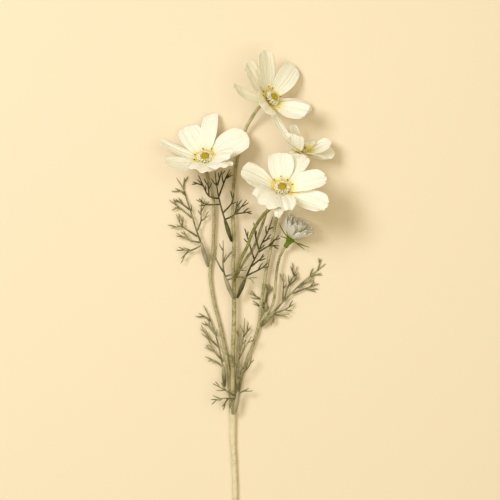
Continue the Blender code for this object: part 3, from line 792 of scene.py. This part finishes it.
# Stems: (x, y, z, radius) along the centre line, the blossom each ends under, the finish and
# the slot
stems = {
    "lower_stem": ([(1, 0, 2.6, 2.2), (1, 60, 2.6, 2.2), (1, 150, 2.6, 2.2), (0, 184, 2.6, 2.2),
                    (-1, 201, 2.7, 2.4), (-1, 218, 2.8, 2.7), (-1, 226, 2.9, 2.9),
                    (-1, 229.2, 3.0, 2.4)], None, trunkTape, "stem_tape"),
    "left_branch": ([(-2, 222, 2.2, 1.2), (-3, 229.5, 1.9, 1.3), (-4, 257, 2.5, 1.4),
                     (-6, 269, 3, 1.4), (-11, 295, 3, 1.4), (-17, 318, 3, 1.4), (-20, 337, 3, 1.4),
                     (-20, 348, 3.5, 1.4), (-18, 363, 4, 1.4), (-17, 393, 5, 1.4),
                     (-18, 408, 6, 1.35), (-21, 420, 7, 1.3)], "left", branchTape, "stem_tape"),
    "center_branch": ([(-1, 222, 3.4, 1.5), (-1, 229.5, 4.8, 1.8), (-1, 273, 7, 1.9),
                       (0, 303, 8, 1.9), (0, 333, 8, 1.8), (-1, 348, 8, 1.7), (0, 363, 8, 1.6),
                       (-1, 393, 7.5, 1.5), (-1, 408, 6, 1.4), (2, 435, 4, 1.4), (6, 451, 4.5, 1.4),
                       (10, 465, 8, 1.4), (15, 474, 12, 1.4)], "top", branchTape, "stem_tape"),
    "right_branch": ([(0, 222, 2.2, 1.2), (1.2, 229.5, 1.9, 1.3), (7, 257, 2, 1.4), (16, 282, 3, 1.4),
                      (21, 299, 4, 1.4), (23, 316, 5, 1.4), (27, 343, 6, 1.4), (31, 363, 7, 1.3),
                      (35, 384, 8, 1.3), (38, 398, 9, 1.3), (42, 414, 10, 1.3)], "side", branchTape,
                     "stem_tape"),
    "fork_stem": ([(0, 330, 8.6, 1.0), (1, 339, 11, 1.2), (6, 355, 13, 1.3), (11, 365, 16, 1.4),
                   (16, 378, 18, 1.4), (24, 391, 19, 1.4), (33, 399, 22, 1.4)], "center", forkPlastic,
                  "fork_plastic"),
    "small_bud_stem": ([(1, 338, 7.0, 0.9), (4, 344, 7.2, 1.1), (11, 356, 8, 1.2), (17, 365, 9, 1.2),
                        (25, 387, 11, 1.2), (28, 397, 12, 1.1)], None, branchTape, "stem_tape"),
    "bud_stem": ([(21.8, 300, 5.4, 1.0), (24.6, 305, 7, 1.1), (31, 313, 7, 1.2), (34, 321, 7, 1.2),
                  (35, 331, 7, 1.2), (36, 343, 8, 1.1), (38, 354, 8.4, 1.1)], "bud", branchTape,
                 "stem_tape"),
}
stemMake = {"sides": 28, "spacing": 0.8, "wrapPitch": 7.5, "wrapStep": 0.1, "pull": 14.0, "foot": 9.2}
heads = {**blossoms, "bud": bud}

# A stem that ends under a blossom turns into line with its axis, then meets the calyx. Its two
# ends are rounded, and its thickness is a little uneven.
for node, (points, under, material, slotName) in stems.items():
    if under:
        head = heads[under]
        for back in (stemMake["pull"], stemMake["foot"]):
            points = points + [(*toHead(head, np.array([0, 0, -back])), points[-1][3])]
    path = smoothPath(points, stemMake["spacing"])
    row = np.arange(len(path))
    edge = np.minimum(row, row[::-1])
    rounded = 0.86 + 0.14 * np.clip(edge / 2, 0, 1)
    uneven = 1 + 0.025 * np.sin(row * 0.23) + 0.015 * np.sin(row * 0.61)
    radius = path[:, 3] * rounded * uneven
    part = tubePart(path[:, :3], radius, stemMake["sides"], 0, stemMake["wrapPitch"],
                    stemMake["wrapStep"])
    makePiece(node, [material], [part])
print("stems are made")


# Leaves: height where the socket sits on its stub, height of the leaf, gain of height per
# millimetre away from the socket, the socket's finish, then the socket and the twigs as
# (x, y) running outward
leaves = {
    "upper_left_leaf": (5.4, 8.4, -0.12, greyFlock, [
        [(-23, 352), (-27, 366)], [(-27, 366), (-32, 380), (-36, 393), (-40, 405), (-43, 414), (-49, 424)],
        [(-42, 411), (-50, 415)], [(-38, 397), (-50, 406)], [(-36, 390), (-47, 399), (-55, 405)],
        [(-47, 399), (-53, 396)], [(-31, 374), (-44, 383), (-49, 393)], [(-44, 383), (-53, 381)],
        [(-44, 383), (-43, 391)], [(-29, 369), (-38, 371), (-49, 377)], [(-38, 371), (-43, 379)],
        [(-28, 366), (-38, 362), (-47, 365)], [(-38, 362), (-45, 355)], [(-43, 414), (-42, 424)],
        [(-31, 379), (-28, 387), (-28, 395), (-27, 408)], [(-28, 395), (-23, 404)],
        [(-28, 387), (-21, 392)]]),
    "upper_middle_leaf": (11.4, 12.5, 0.0, shadedLeafFlock, [
        [(-3, 373), (-7, 386)], [(-7, 386), (-10, 396), (-13, 408), (-15, 420), (-16, 429)],
        [(-13, 407), (-7, 423), (-3, 431)], [(-7, 423), (-1, 426)], [(-14, 417), (-10, 430)],
        [(-9, 394), (-2, 402), (0, 411)], [(-8, 388), (1, 393), (11, 405)], [(1, 393), (3, 404)],
        [(1, 393), (15, 395)], [(-13, 406), (-21, 408), (-26, 417), (-30, 426)], [(-26, 417), (-35, 420)],
        [(-21, 408), (-22, 421)], [(-12, 401), (-22, 401), (-32, 405)]]),
    "middle_left_leaf": (11.9, 15.6, 0.0, greyFlock, [
        [(-2, 325), (-7, 338)], [(-7, 338), (-9, 348), (-9, 363), (-9, 371)],
        [(-9, 344), (-13, 351), (-16, 358), (-17, 368)], [(-9, 352), (-2, 361), (3, 366)],
        [(-8, 340), (3, 344), (11, 349)], [(-7, 337), (5, 340), (14, 338), (17, 334)]]),
    "middle_right_leaf": (11.9, 12.4, 0.0, shadedLeafFlock, [
        [(4, 325), (9, 337)], [(9, 337), (14, 348), (20, 360), (24, 369), (29, 379), (33, 391)],
        [(11, 341), (23, 347), (29, 352)], [(15, 349), (26, 358)], [(21, 361), (30, 366), (38, 366)],
        [(30, 366), (38, 375)], [(24, 369), (31, 373)], [(29, 380), (34, 382)],
        [(17, 355), (13, 368), (9, 381)], [(21, 363), (18, 376), (19, 386)]]),
    "far_right_leaf": (6.4, 6.4, -0.1, leafFlock, [
        [(24.9, 300), (33, 309)], [(33, 309), (41, 318), (48, 325), (56, 333), (68, 343), (78, 351)],
        [(42, 319), (46, 332), (51, 341), (54, 349)], [(51, 341), (48, 349)], [(46, 332), (56, 340)],
        [(41, 318), (42, 331), (42, 343)], [(56, 333), (68, 337)], [(48, 325), (61, 330), (72, 334)],
        [(61, 330), (69, 327)], [(65, 340), (74, 343)], [(71, 345), (74, 355)],
        [(34, 309), (43, 312), (51, 317)], [(34, 308), (45, 306)], [(33, 309), (34, 300)]]),
    "lower_front_leaf": (9.8, 11.4, 0.03, greyFlock, [
        [(1, 227), (3, 240)], [(3, 240), (3, 255), (4, 265), (5, 277), (3, 286)],
        [(2, 239), (-7, 244), (-18, 250)], [(-7, 244), (-11, 251)], [(2, 237), (-12, 237), (-19, 232)],
        [(-12, 237), (-18, 240)], [(-5, 237), (-10, 230)], [(3, 241), (13, 246)],
        [(3, 253), (7, 258), (13, 265), (15, 273)], [(4, 263), (-2, 270), (-6, 278)],
        [(4, 270), (9, 280), (15, 290)]]),
    "lower_left_leaf": (6.2, 6.2, -0.06, leafFlock, [
        [(-8, 250), (-9, 262)], [(-9, 262), (-14, 285), (-20, 303), (-26, 316)], [(-20, 303), (-30, 309)],
        [(-13, 280), (-23, 290), (-28, 299)], [(-9, 268), (-17, 277), (-22, 287), (-28, 292)],
        [(-17, 277), (-25, 280)], [(-9, 263), (-17, 269), (-22, 268)], [(-16, 291), (-25, 302)]]),
    "lower_right_leaf": (4.6, 4.6, 0.0, leafFlock, [
        [(3.4, 247), (3.6, 259)], [(3.6, 259), (5, 276), (8, 289), (9, 305)], [(8, 289), (14, 297)],
        [(5, 276), (4, 287), (4, 296)]]),
    "bud_fork_leaf": (2.2, 2.0, 0.0, leafFlock, [
        [(28, 309.5), (27, 316)], [(27, 316), (28, 324), (30, 334)], [(27, 314), (22, 321), (13, 326)],
        [(27, 313), (16, 317)], [(28, 324), (33, 331)]]),
}
leafMake = {"sides": 8, "spacing": 1.0, "foot": 0.82, "tip": 0.45, "thinning": 0.012, "lowest": 1.1,
            "spur": 6.4, "spurLean": 37, "spurFoot": 0.75, "spurCurl": 0.32,
            "socketSides": 20, "socketSpacing": 0.6, "socketNeck": 1.35, "socketBelly": 1.9}


# A twig: a round tube that thins from foot to tip and closes in a round end
def twigPart(path, foot, tip):
    share = np.linspace(0, 1, len(path))
    rounding = np.sqrt(np.clip(1 - np.clip((share - 0.93) / 0.072, 0, 1) ** 2, 0.02, 1))
    return tubePart(path, (foot + (tip - foot) * share) * rounding, leafMake["sides"])


# Short spurs on one side of a twig and then the other: two on a long twig, one on a middling
# twig and none on a short one. Each leaves at a lean and curls back toward the twig's line.
def spurs(path, k):
    length = len(path) * leafMake["spacing"]
    shares = (0.5, 0.74) if length > 13 else (0.6,) if length > 8 else ()
    found = []
    for n, share in enumerate(shares):
        at = int(share * (len(path) - 1))
        ahead = path[min(at + 1, len(path) - 1)] - path[at - 1]
        ahead = ahead / np.linalg.norm(ahead)
        lean = np.radians(leafMake["spurLean"] + 8 * np.sin(k * 2.1 + n)) * (1 if (k + n) % 2 else -1)
        way = np.array([ahead[0] * np.cos(lean) - ahead[1] * np.sin(lean),
                        ahead[0] * np.sin(lean) + ahead[1] * np.cos(lean)])
        size = leafMake["spur"] * (1 + 0.25 * np.sin(k * 1.3 + n * 2))
        steps = np.linspace(0, 1, 6)[:, None]
        found.append(path[at] + size * (steps * way + leafMake["spurCurl"] * steps ** 2 * (ahead - way)))
    return found


for node, (stub, height, fall, socketFinish, paths) in leaves.items():
    origin = np.array(paths[0][1], float)
    (x0, y0), (x1, y1) = paths[0]
    # The socket: (share of the way along it, height, radius), from inside the stem to the twigs
    profile = [(-0.25, stub - 1.2, 0.9), (0, stub, leafMake["socketNeck"]),
               (0.45, stub + 0.45 * (height - stub), leafMake["socketBelly"]),
               (1, height, leafMake["socketNeck"]), (1.2, height, 0.9)]
    club = [(x0 + share * (x1 - x0), y0 + share * (y1 - y0), level, radius)
            for share, level, radius in profile]
    path = smoothPath(club, leafMake["socketSpacing"])
    parts = [tubePart(path[:, :3], path[:, 3], leafMake["socketSides"], 1)]
    for k, twig in enumerate(paths[1:]):
        flatPath = smoothPath(twig, leafMake["spacing"])
        for n, spur in enumerate([flatPath] + spurs(flatPath, k)):
            away = np.linalg.norm(spur - origin, axis=1)
            level = np.maximum(leafMake["lowest"], height + fall * away)
            run = np.linspace(0, 1, len(spur))
            level = level + 0.35 * np.sin(run * np.pi * 2 + k) * run + 0.25 * n * run
            foot = leafMake["foot"] - leafMake["thinning"] * k
            parts.append(twigPart(np.column_stack([spur, level]),
                                  foot if n == 0 else leafMake["spurFoot"] * foot, leafMake["tip"]))
    # the two leaves in the blossoms' shadow take the shaded copy of the flock: painted shade
    twigFinish = shadedLeafFlock if socketFinish is shadedLeafFlock else leafFlock
    makePiece(node, [twigFinish, socketFinish], parts)
print("leaves are made")
